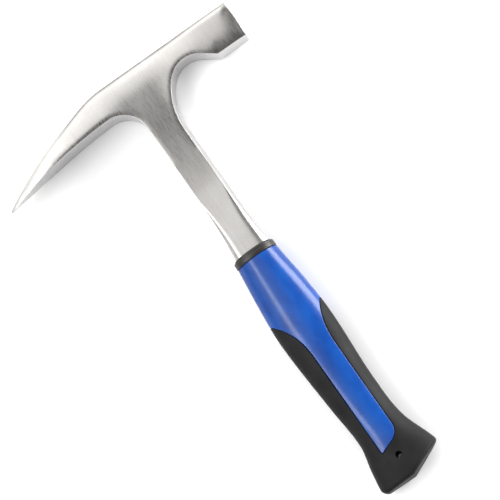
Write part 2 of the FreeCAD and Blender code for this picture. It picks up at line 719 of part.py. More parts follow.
def makeSleeveForm():
    """Outside of the black sleeve: a straight neck round the flare, then slimmer round the tang."""
    body = makeBody("SleeveForm")
    stations = (
        ("SleeveLip", f"{COLLAR_TOP} + sizes.lip_height", SLEEVE_HALF, SLEEVE_FACE),
        ("SleeveNeck", f"{SEAT} - 2", SLEEVE_HALF, SLEEVE_FACE),
        ("SleeveWaist", f"{SEAT} - 10", SLEEVE_LOW_HALF, SLEEVE_LOW_FACE),
        ("SleeveEnd", "sizes.sleeve_end", SLEEVE_LOW_HALF, SLEEVE_LOW_FACE),
    )
    sections = [
        ovalSection(body, name, height, half, half, face, "sizes.sleeve_crown")
        for name, height, half, face in stations
    ]
    loft = makeLoft(body, "SleeveLoft", sections)
    loft.Ruled = True
    return body


def makeCollarRing():
    body = makeBody("collar_ring")
    outer = ovalSection(
        body, "CollarOuter", "sizes.grip_length", f"({SLEEVE_HALF} + sizes.collar_wall)",
        f"({SLEEVE_HALF} + sizes.collar_wall)", f"({SLEEVE_FACE} + sizes.collar_wall)",
        "sizes.sleeve_crown",
    )
    pad = body.newObject("PartDesign::Pad", "CollarPad")
    pad.Profile = outer
    pad.Reversed = True
    pad.setExpression("Length", "sizes.collar_height")
    doc.recompute()
    rims = [
        f"Edge{n}" for n, edge in enumerate(pad.Shape.Edges, start=1)
        if edge.BoundBox.YLength < 0.001
    ]
    rounding = body.newObject("PartDesign::Fillet", "CollarRounding")
    rounding.Base = (pad, rims)
    rounding.setExpression("Radius", "sizes.collar_rounding")
    inner = ovalSection(
        body, "CollarInner", "sizes.grip_length", SLEEVE_HALF, SLEEVE_HALF, SLEEVE_FACE,
        "sizes.sleeve_crown",
    )
    bore = body.newObject("PartDesign::Pocket", "CollarBore")
    bore.Profile = inner
    bore.Type = "ThroughAll"
    bore.SideType = "Symmetric"
    return body


def combine(kind, label, base, tool):
    result = doc.addObject(f"Part::{kind}", label)
    result.Label = label
    result.Base = base
    result.Tool = tool
    return result


forging = makeForging()
collar = makeCollarRing()
gripForm = makeGripForm()
coreForm = makeCoreForm()
windowForm = makeWindowForm()
sleeveForm = makeSleeveForm()
doc.recompute()

# the sleeve fills the tang's holes; the grip body fills everything between sleeve and rubber
sleeve = combine("Cut", "inner_sleeve", sleeveForm, forging)
bareBody = combine("Common", "BodyInWindow", gripForm, windowForm)
coreInGrip = combine("Common", "CoreInGrip", coreForm, gripForm)
solidBody = combine("Fuse", "SolidBody", bareBody, coreInGrip)
gripBody = combine("Cut", "blue_grip_body", solidBody, sleeveForm)
coverSkin = combine("Cut", "CoverSkin", gripForm, windowForm)
cover = combine("Cut", "rubber_cover", coverSkin, coreForm)
doc.recompute()

PIECES = (forging, sleeve, collar, gripBody, cover)

for item in doc.Objects:
    if "Invalid" in item.State or "Error" in item.State:
        raise RuntimeError(f"{item.Label} failed: {item.State}")
for piece in PIECES:
    if piece.Shape.isNull() or not piece.Shape.isValid() or len(piece.Shape.Solids) != 1:
        raise RuntimeError(f"{piece.Label} is not one sound solid")

os.makedirs("parts", exist_ok=True)
for piece in PIECES:
    piece.Shape.exportStep(f"parts/{piece.Label}.step")
    box = piece.Shape.BoundBox
    print(
        f"{piece.Label:16s} {piece.Shape.Volume:9.1f} mm3   "
        f"x {box.XMin:7.2f} {box.XMax:7.2f}  y {box.YMin:7.2f} {box.YMax:7.2f}  "
        f"z {box.ZMin:6.2f} {box.ZMax:6.2f}"
    )
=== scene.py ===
import bpy
import bmesh
import math
import numpy as np
from mathutils import Matrix, Vector
from mathutils.geometry import delaunay_2d_cdt


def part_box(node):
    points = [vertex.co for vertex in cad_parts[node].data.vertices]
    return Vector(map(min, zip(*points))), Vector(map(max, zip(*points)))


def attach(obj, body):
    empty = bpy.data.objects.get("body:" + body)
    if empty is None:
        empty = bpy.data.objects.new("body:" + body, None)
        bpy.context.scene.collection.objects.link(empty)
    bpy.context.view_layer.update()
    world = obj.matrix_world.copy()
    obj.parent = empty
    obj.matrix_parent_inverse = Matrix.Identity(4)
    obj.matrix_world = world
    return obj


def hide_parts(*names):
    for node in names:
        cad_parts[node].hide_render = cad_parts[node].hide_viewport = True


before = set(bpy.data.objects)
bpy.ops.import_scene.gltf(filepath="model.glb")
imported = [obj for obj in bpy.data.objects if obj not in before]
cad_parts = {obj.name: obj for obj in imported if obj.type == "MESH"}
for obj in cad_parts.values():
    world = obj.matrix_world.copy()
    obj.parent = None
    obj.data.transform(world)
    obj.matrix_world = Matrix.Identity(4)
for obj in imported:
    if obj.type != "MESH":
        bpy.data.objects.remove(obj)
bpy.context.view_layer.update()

# everything below is drawn in millimetres: x from the middle of the shank towards the striking
# face, y up from the end of the butt, z out from the middle of the thickness
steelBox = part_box("steel_forging")
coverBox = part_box("rubber_cover")
middleZ = (steelBox[0][2] + steelBox[1][2]) / 2 * 1000
buttY = coverBox[0][1] * 1000
hammerLength = steelBox[1][1] * 1000 - buttY


# shared helpers

def toFrame(points):
    # millimetres of the drawing into metres of the frame
    return (np.asarray(points, float) + (shankX, buttY, middleZ)) / 1000


def arcPoints(centre, radius, fromDeg, toDeg, step=1.2):
    count = max(3, int(abs(math.radians(toDeg - fromDeg)) * radius / step) + 1)
    turn = np.radians(np.linspace(fromDeg, toDeg, count + 1))
    return np.column_stack((centre[0] + radius * np.cos(turn), centre[1] + radius * np.sin(turn)))


def linePoints(start, end, step=2.0):
    count = max(1, int(math.dist(start, end) / step))
    return np.linspace(start, end, count + 1)


def chain(runs):
    # joins runs of points, dropping each repeated corner
    kept = [runs[0]]
    for run in runs[1:]:
        kept.append(run[1:] if np.allclose(run[0], kept[-1][-1], atol=1e-6) else run)
    loop = np.vstack(kept)
    return loop[:-1] if np.allclose(loop[0], loop[-1], atol=1e-6) else loop


def angleTo(start, end):
    return math.degrees(math.atan2(end[1] - start[1], end[0] - start[0]))


def apexLeft(first, firstReach, second, secondReach):
    # the point at two distances from two others, left of the way between them
    way = np.subtract(second, first)
    length = np.hypot(*way)
    along = (firstReach ** 2 - secondReach ** 2 + length ** 2) / (2 * length)
    aside = math.sqrt(firstReach ** 2 - along ** 2)
    way = way / length
    return np.array(first) + way * along + np.array((-way[1], way[0])) * aside


def smooth(low, high, value):
    # 0 below low, 1 above high, and an even bend between them
    part = np.clip((np.asarray(value, float) - low) / (high - low), 0, 1)
    return part * part * (3 - 2 * part)


def throughPoints(stations, values, where):
    # smooth curve through the stations, with no overshoot between them
    stations, values = np.asarray(stations, float), np.asarray(values, float)
    rise = np.diff(values) / np.diff(stations)
    tangent = np.concatenate(([rise[0]], (rise[:-1] + rise[1:]) / 2, [rise[-1]]))
    turning = np.concatenate(([False], rise[:-1] * rise[1:] <= 0, [False]))
    tangent[turning] = 0
    spot = np.clip(np.searchsorted(stations, where, side="right") - 1, 0, len(rise) - 1)
    gap = np.diff(stations)[spot]
    part = np.clip((where - stations[spot]) / gap, 0, 1)
    a, b = values[spot], values[spot + 1]
    ta, tb = tangent[spot] * gap, tangent[spot + 1] * gap
    return (
        a * (1 + 2 * part) * (1 - part) ** 2 + ta * part * (1 - part) ** 2
        + b * part ** 2 * (3 - 2 * part) + tb * part ** 2 * (part - 1)
    )


def distanceTo(points, loop, closed=True):
    # distance from each point to a line of points, and the nearest spot on it
    starts = loop
    ends = np.roll(loop, -1, axis=0)
    if not closed:
        starts, ends = loop[:-1], loop[1:]
    best = np.full(len(points), 1e9)
    spot = np.zeros((len(points), 2))
    for start, end in zip(starts, ends):
        way = end - start
        part = np.clip(((points - start) @ way) / max(way @ way, 1e-12), 0, 1)
        near = start + part[:, None] * way
        gap = np.hypot(*(points - near).T)
        closer = gap < best
        best[closer] = gap[closer]
        spot[closer] = near[closer]
    return best, spot


def insideLoop(points, loop):
    x, y = points[:, 0], points[:, 1]
    inside = np.zeros(len(points), bool)
    for (ax, ay), (bx, by) in zip(loop, np.roll(loop, -1, axis=0)):
        if ay == by:
            continue
        crosses = ((ay > y) != (by > y)) & (x < (bx - ax) * (y - ay) / (by - ay) + ax)
        inside ^= crosses
    return inside


def newPiece(name, points, faces, material, nodes, sharpDeg):
    weldGap = 2e-6              # metres
    mesh = bpy.data.meshes.new(name)
    mesh.from_pydata([tuple(p) for p in toFrame(points)], [], [tuple(f) for f in faces])
    build = bmesh.new()
    build.from_mesh(mesh)
    bmesh.ops.remove_doubles(build, verts=build.verts, dist=weldGap)
    bmesh.ops.recalc_face_normals(build, faces=build.faces)
    build.to_mesh(mesh)
    build.free()
    mesh.validate()
    mesh.materials.append(material)
    mesh.shade_smooth()
    mesh.set_sharp_from_angle(angle=math.radians(sharpDeg))
    piece = bpy.data.objects.new(name, mesh)
    bpy.context.scene.collection.objects.link(piece)
    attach(piece, "root")
    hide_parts(*nodes)
    return piece


# materials

class Recipe:
    # thin wrapper for wiring a node material
    def __init__(self, name):
        self.material = bpy.data.materials.new(name)
        self.material.use_nodes = True
        self.nodes = self.material.node_tree.nodes
        self.links = self.material.node_tree.links
        self.shader = self.nodes["Principled BSDF"]

    def node(self, kind, **settings):
        made = self.nodes.new(kind)
        for key, value in settings.items():
            setattr(made, key, value)
        return made

    def link(self, source, target):
        self.links.new(source, target)

    def coords(self, scale):
        place = self.node("ShaderNodeTexCoord")
        stretch = self.node("ShaderNodeMapping")
        stretch.inputs["Scale"].default_value = scale
        self.link(place.outputs["Object"], stretch.inputs["Vector"])
        return stretch.outputs["Vector"]

    def noise(self, coords, scale, detail):
        made = self.node("ShaderNodeTexNoise")
        made.inputs["Scale"].default_value = scale
        made.inputs["Detail"].default_value = detail
        made.inputs["Roughness"].default_value = 0.55
        self.link(coords, made.inputs["Vector"])
        return made.outputs["Fac"]

    def spread(self, source, low, high, fromLow=0.25, fromHigh=0.75):
        made = self.node("ShaderNodeMapRange")
        made.inputs["From Min"].default_value = fromLow
        made.inputs["From Max"].default_value = fromHigh
        made.inputs["To Min"].default_value = low
        made.inputs["To Max"].default_value = high
        self.link(source, made.inputs["Value"])
        return made.outputs["Result"]

    def blend(self, factor, first, second):
        made = self.node("ShaderNodeMix", data_type="RGBA")
        self.link(factor, made.inputs["Factor"])
        colourA, colourB, result = 6, 7, 2      # sockets of the node's colour version
        for spot, colour in ((colourA, first), (colourB, second)):
            if isinstance(colour, tuple):
                made.inputs[spot].default_value = (*colour, 1)
            else:
                self.link(colour, made.inputs[spot])
        return made.outputs[result]

    def bump(self, height, strength, distance, before=None):
        made = self.node("ShaderNodeBump")
        made.inputs["Strength"].default_value = strength
        made.inputs["Distance"].default_value = distance
        self.link(height, made.inputs["Height"])
        if before is not None:
            self.link(before, made.inputs["Normal"])
        return made.outputs["Normal"]


steelFinish = {
    "light": (0.54, 0.53, 0.515), "dull": (0.45, 0.44, 0.425), "streak": (0.41, 0.40, 0.39),
    # wall: tone of the unbrushed narrow walls, kept at the light end of the sides' range as painted
    # light on the undersides, which lie in shade
    "streakShare": 0.35, "wall": (0.54, 0.535, 0.54),
    "hairline": ((1.0, 0.035, 0.6), 2600, 4),       # stretch, scale and detail of the belt marks
    "broadMark": ((1.0, 0.05, 0.6), 420, 3),
    "cloud": ((1.0, 1.0, 1.0), 38, 2),
    "roughness": (0.23, 0.35),
    "hairlineBump": (0.07, 0.00005), "broadBump": (0.08, 0.0002),
}
blueFinish = {
    "deep": (0.004, 0.044, 0.235), "light": (0.006, 0.063, 0.30),
    "grain": ((1.0, 1.0, 1.0), 620, 2), "cloud": ((1.0, 0.6, 1.0), 90, 2),
    "roughness": (0.20, 0.28), "specular": 0.34, "bump": (0.05, 0.0002),
}
rubberFinish = {
    "deep": (0.004, 0.004, 0.0045), "light": (0.009, 0.009, 0.0095),
    "grain": ((1.0, 1.0, 1.0), 1500, 3), "cloud": ((1.0, 1.0, 1.0), 60, 2),
    "roughness": (0.50, 0.66), "specular": 0.18, "bump": (0.25, 0.00012),
}
collarFinish = {
    "deep": (0.006, 0.0045, 0.0035), "light": (0.011, 0.008, 0.0065),
    "grain": ((1.0, 1.0, 1.0), 900, 2), "roughness": (0.36, 0.5), "bump": (0.1, 0.0001),
}


def brushedSteel():
    f = steelFinish
    look = Recipe("brushedSteel")
    look.shader.inputs["Metallic"].default_value = 1.0
    fine, broad, cloud = [
        look.noise(look.coords(stretch), scale, detail)
        for stretch, scale, detail in (f["hairline"], f["broadMark"], f["cloud"])
    ]
    tone = look.spread(cloud, 0.0, 1.0, 0.35, 0.68)
    streak = look.spread(broad, 0.0, 1.0, 0.3, 0.7)
    worn = look.blend(tone, f["dull"], f["light"])
    colour = look.blend(look.spread(streak, 0.0, f["streakShare"], 0, 1), worn, f["streak"])
    # only the broad sides are brushed; the narrow walls keep the even finish of the forging, in a
    # tone lifted as painted light on the undersides, which lie in shade
    facing = look.node("ShaderNodeSeparateXYZ")
    look.link(look.node("ShaderNodeTexCoord").outputs["Normal"], facing.inputs["Vector"])
    upright = look.node("ShaderNodeMath", operation="ABSOLUTE")
    look.link(facing.outputs["Z"], upright.inputs[0])
    wall = look.spread(upright.outputs["Value"], 1.0, 0.0, 0.15, 0.55)
    colour = look.blend(wall, colour, f["wall"])
    look.link(colour, look.shader.inputs["Base Color"])
    look.link(look.spread(fine, *f["roughness"]), look.shader.inputs["Roughness"])
    marks = look.bump(fine, *f["hairlineBump"])
    look.link(look.bump(broad, *f["broadBump"], marks), look.shader.inputs["Normal"])
    return look.material


def moulded(name, finish):
    # plastic or rubber: a fine grain, and clouds of colour where the finish has them
    look = Recipe(name)
    stretch, scale, detail = finish["grain"]
    grain = look.noise(look.coords(stretch), scale, detail)
    if "cloud" in finish:
        stretch, scale, detail = finish["cloud"]
        cloud = look.noise(look.coords(stretch), scale, detail)
        tone = look.spread(cloud, 0.0, 1.0, 0.35, 0.65)
    else:
        tone = look.spread(grain, 0.0, 1.0)
    colour = look.blend(tone, finish["deep"], finish["light"])
    look.link(colour, look.shader.inputs["Base Color"])
    look.link(look.spread(grain, *finish["roughness"]), look.shader.inputs["Roughness"])
    look.link(look.bump(grain, *finish["bump"]), look.shader.inputs["Normal"])
    if "specular" in finish:
        look.shader.inputs["Specular IOR Level"].default_value = finish["specular"]
    return look.material


steelLook = brushedSteel()
blueLook = moulded("bluePlastic", blueFinish)
rubberLook = moulded("blackRubber", rubberFinish)
collarLook = moulded("collarBlack", collarFinish)
print("materials ready")


# steel forging

steel = {
    "pickReach": 100.8, "pollReach": 69.0, "halfThick": 12.0,
    "pollDepth": 22.8, "pollLength": 19.4, "faceCrown": 0.6,
    "archOffset": 31.2, "archCover": 13.6, "archRadius": 15.8, "neckRadius": 42.0,
    "spineStart": 18.0, "spineRadius": 60.0, "spineLongRadius": 500.0, "pickDrop": 27.2,
    "spineBend": 19.0, "spineSlope": 0.37,      # length of its bend, and its fall after that
    "pickRootDepth": 17.7, "undersideRadius": 330.0, "pickFillet": 16.0, "noseRadius": 0.8,
    "dipStart": 4.0, "dipRun": 82.0, "dipExtra": 0.8,       # the T thins towards the shank
    "dipEase": (1.5, 2.2), "dipReturn": (205.0, 45.0, 1.3),
    "headDip": 40.0, "headDipSide": (7.0, 26.0),
    "taperStart": 58.0, "halfShank": 8.5, "halfFlare": 11.1, "halfFlat": 7.0,
    "flareStart": 195.5, "flareEnd": 158.0, "seat": 149.5,
    "rollTop": 198.0, "rollLeft": 5.0, "rollRight": 7.0, "rollDepth": 3.6, "rollEase": 0.7,
    "halfTang": 7.5, "halfTangThick": 3.5, "tangEnd": 32.0,
    "edgeRadius": 0.2,                          # rounding along every edge of the outline
    "crown": 1.5, "crownWidth": 15.0,           # the sides of the head bow towards its top
    "topRoll": 1.1, "topRollWidth": 3.2,        # and roll over along the very edge
    "pickRoll": 0.5, "pickRollWidth": 3.4,      # lower edge of the pick
    "faceRoll": 1.2, "faceRollWidth": 11.0,     # towards the striking face
    "pollRoll": 0.9, "pollRollWidth": 9.0,      # lower edge of the striking block
    "lowRoll": 0.3, "lowRollWidth": 3.0,        # lower edges between them
    "pollFrom": (24.0, 54.0),                   # from the shank to the striking block
    "pollLean": 0.03, "pollTaper": 0.02, "taperFrom": 36.0,     # narrows downwards and outwards
    "pollEdge": (44.0, 50.0), "pickEdge": (-16.0, -30.0),       # where those edge rolls set in
    "rollCurve": 2.2, "headReach": 60.0,
    "draftRight": 2.3, "draftLeft": 0.3,        # how far the shank's flanks swell at mid thickness
    "draftTop": (24.0, 52.0), "draftLow": (8.0, 45.0),
    "insets": (0.5, 0.85, 1.25, 1.7, 2.2, 2.8, 3.5, 4.3, 5.2, 6.3),     # rows of points by the edge
    "gridStep": 1.5, "gridFrom": 7.2,
}
shankX = steelBox[0][0] * 1000 + steel["pickReach"]


def steelOutline():
    s = steel
    top = hammerLength
    faceX = s["pollReach"] - s["faceCrown"]
    corner = (faceX - s["pollLength"], top - s["pollDepth"])
    faceReach = (s["pollDepth"] ** 2 / 4 + s["faceCrown"] ** 2) / (2 * s["faceCrown"])
    faceHalf = math.degrees(math.asin(s["pollDepth"] / 2 / faceReach))
    faceHub = (s["pollReach"] - faceReach, top - s["pollDepth"] / 2)
    archHub = (s["archOffset"], top - s["archCover"] - s["archRadius"])
    rampAngle = angleTo(archHub, corner)
    rampAngle += math.degrees(math.acos(s["archRadius"] / math.dist(archHub, corner)))
    across = s["halfShank"] + s["neckRadius"] - archHub[0]
    down = math.sqrt((s["neckRadius"] - s["archRadius"]) ** 2 - across ** 2)
    neckHub = (archHub[0] + across, archHub[1] - down)
    neckAngle = angleTo(neckHub, archHub)
    step = s["halfFlare"] - s["halfShank"]
    run = s["flareStart"] - s["flareEnd"]
    flareReach = (step ** 2 + run ** 2) / (2 * step)
    flareTurn = math.degrees(math.asin(run / flareReach))
    flareHub = s["halfShank"] + flareReach
    noseHub = (-s["pickReach"] + s["noseRadius"], top - s["pickDrop"])
    underY = top - s["pickRootDepth"] - s["undersideRadius"]
    underRun = math.sqrt((s["undersideRadius"] + s["noseRadius"]) ** 2 - (noseHub[1] - underY) ** 2)
    underHub = (noseHub[0] + underRun, underY)
    filletX = -s["halfShank"] - s["pickFillet"]
    filletRise = math.sqrt(
        (s["undersideRadius"] - s["pickFillet"]) ** 2 - (filletX - underHub[0]) ** 2
    )
    filletHub = (filletX, underY + filletRise)
    spineHub = (-s["spineStart"], top - s["spineRadius"])
    longHub = apexLeft(
        spineHub, s["spineLongRadius"] - s["spineRadius"],
        noseHub, s["spineLongRadius"] - s["noseRadius"],
    )
    underAngle = angleTo(underHub, filletHub)
    tipAngle = angleTo(underHub, noseHub)
    noseAngle = angleTo(longHub, noseHub)
    spineAngle = angleTo(longHub, spineHub)
    tangHub = (0, s["tangEnd"] + s["halfTang"])
    ramp = (
        archHub[0] + s["archRadius"] * math.cos(math.radians(rampAngle)),
        archHub[1] + s["archRadius"] * math.sin(math.radians(rampAngle)),
    )
    return chain([
        linePoints((-s["spineStart"], top), (faceX, top)),
        arcPoints(faceHub, faceReach, faceHalf, -faceHalf, 2.0),
        linePoints((faceX, corner[1]), corner),
        linePoints(corner, ramp),
        arcPoints(archHub, s["archRadius"], rampAngle, neckAngle),
        arcPoints(neckHub, s["neckRadius"], neckAngle, 180, 1.5),
        linePoints((s["halfShank"], neckHub[1]), (s["halfShank"], s["flareStart"])),
        arcPoints((flareHub, s["flareStart"]), flareReach, 180, 180 + flareTurn, 2.0),
        linePoints((s["halfFlare"], s["flareEnd"]), (s["halfFlare"], s["seat"])),
        linePoints((s["halfFlare"], s["seat"]), (s["halfTang"], s["seat"])),
        linePoints((s["halfTang"], s["seat"]), (s["halfTang"], tangHub[1]), 6),
        arcPoints(tangHub, s["halfTang"], 0, -180, 2.0),
        linePoints((-s["halfTang"], tangHub[1]), (-s["halfTang"], s["seat"]), 6),
        linePoints((-s["halfTang"], s["seat"]), (-s["halfFlare"], s["seat"])),
        linePoints((-s["halfFlare"], s["seat"]), (-s["halfFlare"], s["flareEnd"])),
        arcPoints((-flareHub, s["flareStart"]), flareReach, -flareTurn, 0, 2.0),
        linePoints((-s["halfShank"], s["flareStart"]), (-s["halfShank"], filletHub[1])),
        arcPoints(filletHub, s["pickFillet"], 0, underAngle, 1.2),
        arcPoints(underHub, s["undersideRadius"], underAngle, tipAngle, 2.0),
        arcPoints(noseHub, s["noseRadius"], tipAngle + 180, noseAngle, 0.35),
        arcPoints(longHub, s["spineLongRadius"], noseAngle, spineAngle, 2.0),
        arcPoints(spineHub, s["spineRadius"], spineAngle, 90, 1.5),
    ])


def steelHeight(points, outline):
    # half thickness of the forging at each point of its side
    s = steel
    x, y = points[:, 0], points[:, 1]
    below = hammerLength - y
    height = np.full(len(points), s["halfThick"])

    # the sides of the pick close in to the tip
    run = s["pickReach"] - s["taperStart"]
    drop = s["halfThick"] - s["noseRadius"]
    reach = (run ** 2 + drop ** 2) / (2 * drop)
    past = np.clip(-s["taperStart"] - x, 0, run)
    height -= reach - np.sqrt(reach ** 2 - past ** 2)

    # the T of the forging dips towards the shank, which is then nearly even down to the collar
    part = np.clip((below - s["dipStart"]) / s["dipRun"], 0, 1)
    first, second = s["dipEase"]
    thinning = 1 - (1 - part ** first) ** second
    thinning *= s["halfThick"] - s["halfFlat"] + s["dipExtra"]
    returnTop, returnRun, returnEase = s["dipReturn"]
    thinning -= s["dipExtra"] * np.clip((returnTop - y) / returnRun, 0, 1) ** returnEase
    height -= thinning * np.where(
        below < s["headDip"], 1 - smooth(*s["headDipSide"], np.abs(x)), 1
    )

    # rolled corners growing down the shank, so that it enters the round sleeve
    grow = np.clip((s["rollTop"] - y) / (s["rollTop"] - s["seat"]), 0.02, 1.05)
    wide = np.where(x > 0, s["rollRight"], s["rollLeft"]) * grow ** s["rollEase"]
    past = np.clip(np.abs(x) - (shankHalf(y) - wide), 0, None) / wide
    height -= np.where(y < s["rollTop"], s["rollDepth"] * grow * past ** 2, 0)

    # wide rolls along the edges of the sides
    edge, spot = distanceTo(points, outline)
    atTop = smooth(-4, -0.5, spot[:, 1] - spineLine(spot[:, 0]))
    onPick = smooth(*s["pickEdge"], spot[:, 0]) * (1 - atTop)
    onHead = spot[:, 1] > hammerLength - s["headReach"]
    drop = np.clip(1 - (spineLine(x) - y) / s["crownWidth"], 0, 1)
    poll = smooth(*s["pollFrom"], x)
    height -= s["crown"] * (1 - 0.5 * poll) * drop ** 2 * np.clip(height / s["halfThick"], 0.2, 1)
    height -= s["pollLean"] * poll * np.clip(below, 0, 24)
    height -= s["pollTaper"] * np.clip(x - s["taperFrom"], 0, None) * (below < 30)
    drop = np.clip(1 - (s["pollReach"] - x) / s["faceRollWidth"], 0, 1)
    height -= s["faceRoll"] * drop ** 2 * (0.35 + 0.65 * smooth(2, 20, below))
    atPoll = smooth(*s["pollEdge"], spot[:, 0]) * (1 - atTop)
    for depth, width, share in (
        (s["topRoll"], s["topRollWidth"], atTop),
        (s["pickRoll"], s["pickRollWidth"], onPick),
        (s["lowRoll"], s["lowRollWidth"], (1 - atTop) * (1 - onPick) * (1 - atPoll)),
        (s["pollRoll"], s["pollRollWidth"], atPoll),
    ):
        room = np.clip(1 - edge / width, 0, 1)
        thin = np.clip(height / s["halfThick"], 0.2, 1)
        height -= depth * share * room ** s["rollCurve"] * thin * onHead

    # tang
    inGrip = smooth(s["seat"] + 0.6, s["seat"] - 1.4, y)
    return height * (1 - inGrip) + s["halfTangThick"] * inGrip


def spineLine(x):
    # height of the top of the head and of the spine of the pick
    s = steel
    out = np.clip(-s["spineStart"] - x, 0, None)
    near = np.clip(out, 0, s["spineBend"])
    bend = s["spineRadius"] - np.sqrt(s["spineRadius"] ** 2 - near ** 2)
    return hammerLength - bend - (out - near) * s["spineSlope"]


def shankHalf(y):
    # half width of the shank, which flares towards the collar
    s = steel
    step = s["halfFlare"] - s["halfShank"]
    run = s["flareStart"] - s["flareEnd"]
    reach = (step ** 2 + run ** 2) / (2 * step)
    past = np.clip(s["flareStart"] - y, 0, run)
    return s["halfShank"] + reach - np.sqrt(reach ** 2 - past ** 2)


def inwardNormals(loop):
    # loop runs clockwise, so inward is to the right of the way along it
    way = np.roll(loop, -1, axis=0) - np.roll(loop, 1, axis=0)
    way /= np.hypot(*way.T)[:, None]
    return np.column_stack((way[:, 1], -way[:, 0]))


def sidePoints(outline):
    # points spread over the side of the forging: rings near the outline, then a grid
    s = steel
    inward = inwardNormals(outline)
    spots = []
    for inset in s["insets"]:
        ring = outline + inward * inset
        gap, _ = distanceTo(ring, outline)
        spots.append(ring[gap > inset * 0.97])
    low, high = outline.min(axis=0), outline.max(axis=0)
    gridX, gridY = np.meshgrid(*[
        np.arange(start, end, s["gridStep"]) for start, end in zip(low, high)
    ])
    grid = np.column_stack((gridX.ravel(), gridY.ravel()))
    grid = grid[insideLoop(grid, outline)]
    gap, _ = distanceTo(grid, outline)
    spots.append(grid[gap > s["gridFrom"]])
    return np.vstack(spots)


def makeSteel():
    s = steel
    outline = steelOutline()
    inward = inwardNormals(outline)
    count = len(outline)
    radius = s["edgeRadius"]
    # rows down the edge: how far in from the outline, and the share of the half thickness
    rings = [
        (radius * (1 - math.sin(turn)), 1 - radius * (1 - math.cos(turn)) / s["halfThick"])
        for turn in np.radians(np.linspace(0, 90, 5))
    ]
    wallTop = rings[-1][1]
    wall = [(0.0, part) for part in np.linspace(wallTop, -wallTop, 6)[1:-1]]
    rows = rings + wall + [(inset, -part) for inset, part in reversed(rings)]

    # the flanks lean out to a parting line half way through, most of all at the poll's neck
    below = hammerLength - outline[:, 1]
    lowFrom, lowTo = s["draftLow"]
    onShank = smooth(*s["draftTop"], below)
    onShank *= smooth(s["seat"] + lowFrom, s["seat"] + lowTo, outline[:, 1])
    onShank *= np.abs(outline[:, 0]) < 30
    draft = onShank * np.where(outline[:, 0] > 0, s["draftRight"], s["draftLeft"])

    flat = np.vstack((outline + inward * radius, sidePoints(outline)))
    edges = [(n, (n + 1) % count) for n in range(count)]
    spots, _, faces, _, _, _ = delaunay_2d_cdt(
        [Vector(p) for p in flat], edges, [list(range(count))], 1, 1e-5
    )
    spots = np.array([tuple(p) for p in spots])
    height = steelHeight(spots, outline)

    points, polygons = [], []
    for sign in (1, -1):
        start = len(points)
        points += [(spot[0], spot[1], sign * tall) for spot, tall in zip(spots, height)]
        polygons += [[start + n for n in face] for face in faces]
    start = len(points)
    for inset, part in rows:
        tall = steelHeight(outline + inward * max(inset, 0.02), outline)
        swell = draft * (1 - min(abs(part) / wallTop, 1))
        ring = outline + inward * inset - inward * swell[:, None]
        points += list(np.column_stack((ring, part * tall)))
    for level in range(len(rows) - 1):
        near, far = start + level * count, start + (level + 1) * count
        polygons += [[near + n, near + m, far + m, far + n] for n, m in edges]
    return newPiece(
        "steelForging", points, polygons, steelLook, ["steel_forging"], 28
    )


steelPiece = makeSteel()
print("steel forging", len(steelPiece.data.polygons), "faces")


# grip

grip = {
    # height, left edge, right edge, half thickness
    "stations": [
        (153.7, 13.2, 13.2, 10.8), (150.0, 13.6, 13.5, 10.9), (132.7, 15.6, 15.4, 11.4),
        (105.0, 17.6, 17.0, 11.9), (60.0, 15.4, 15.2, 11.5), (33.0, 13.5, 16.7, 11.2),
        (15.0, 16.8, 22.9, 11.5), (0.0, 19.2, 27.6, 11.9),
    ],
    "crown": 3.5,                               # how far the broad faces bow
    "buttFlat": 2.2, "buttRise": 9.2, "buttCorner": 24.2,
    "buttRounding": 2.2, "leftCorner": 3.6,
    "coverTop": 118.0,                          # the rubber covers the whole section below this
    "coverThick": 3.0, "lap": 1.6,              # and runs on this far past the window's lower end
    "rim": 0.55, "holeRim": 0.5,                # rounding of the rubber round the window and hole
    "windowLow": 19.4, "windowRise": 5.5, "windowLeft": 6.0, "windowRight": 9.0,
    "windowCorner": 9.0, "tipRadius": 0.7, "shoulderEnd": 88.0, "shoulderOut": 19.0,
    "shoulderEase": (12.0, 12),                 # height and times that the shoulders are eased
    "outlineStep": 0.8,
    "groove": 0.35, "seam": 0.22,               # the blue plastic's rounding, and its seam
    "topRounding": 0.3, "fit": 0.1, "topGap": 0.02,
    "holeRadius": 2.0, "holeY": 14.0, "holeX": 1.8, "holeWaist": 0.3,
}
topY = grip["stations"][0][0]


def gripSection(y):
    # left edge, right edge and half thickness at a height
    stations = np.array(grip["stations"])[::-1]
    return [throughPoints(stations[:, 0], stations[:, column], y) for column in (1, 2, 3)]


def ovalParts(halfWidth, halfThick, crown):
    # radius and hub of the end arc, radius of the face arc, and the angle where the two meet
    end = halfThick - crown
    hub = halfWidth - end
    face = (hub ** 2 + halfThick ** 2 - end ** 2) / (2 * crown)
    return end, hub, face, np.arctan2(face - halfThick, hub)


def ovalRing(halfWidth, halfThick, crown, turn, offset=0.0):
    # a flattened oval: broad bowed faces and round ends; turn 0 is right, 90 is the near face
    end, hub, face, split = ovalParts(halfWidth, halfThick, crown)
    quarter = np.mod(turn, 360)
    mirrorX = np.where((quarter > 90) & (quarter < 270), -1, 1)
    mirrorZ = np.where(quarter > 180, -1, 1)
    fold = np.where(quarter > 180, 360 - quarter, quarter)
    fold = np.where(fold > 90, 180 - fold, fold) / 90
    # even steps: a share of the perimeter for the ends and the rest for the faces
    rest = math.pi / 2 - split
    share = end * split / (end * split + face * rest)
    onEnd = fold < share
    a = np.where(onEnd, fold / share * split, split + (fold - share) / (1 - share) * rest)
    end, reach = end + offset, face + offset
    x = np.where(onEnd, hub + end * np.cos(a), reach * np.cos(a))
    z = np.where(onEnd, end * np.sin(a), halfThick - face + reach * np.sin(a))
    return mirrorX * x, mirrorZ * z


def ovalAt(y, turn):
    # the grip's own oval at a height
    left, right, half = gripSection(y)
    x, z = ovalRing((left + right) / 2, half, grip["crown"], turn)
    return (right - left) / 2 + x, z


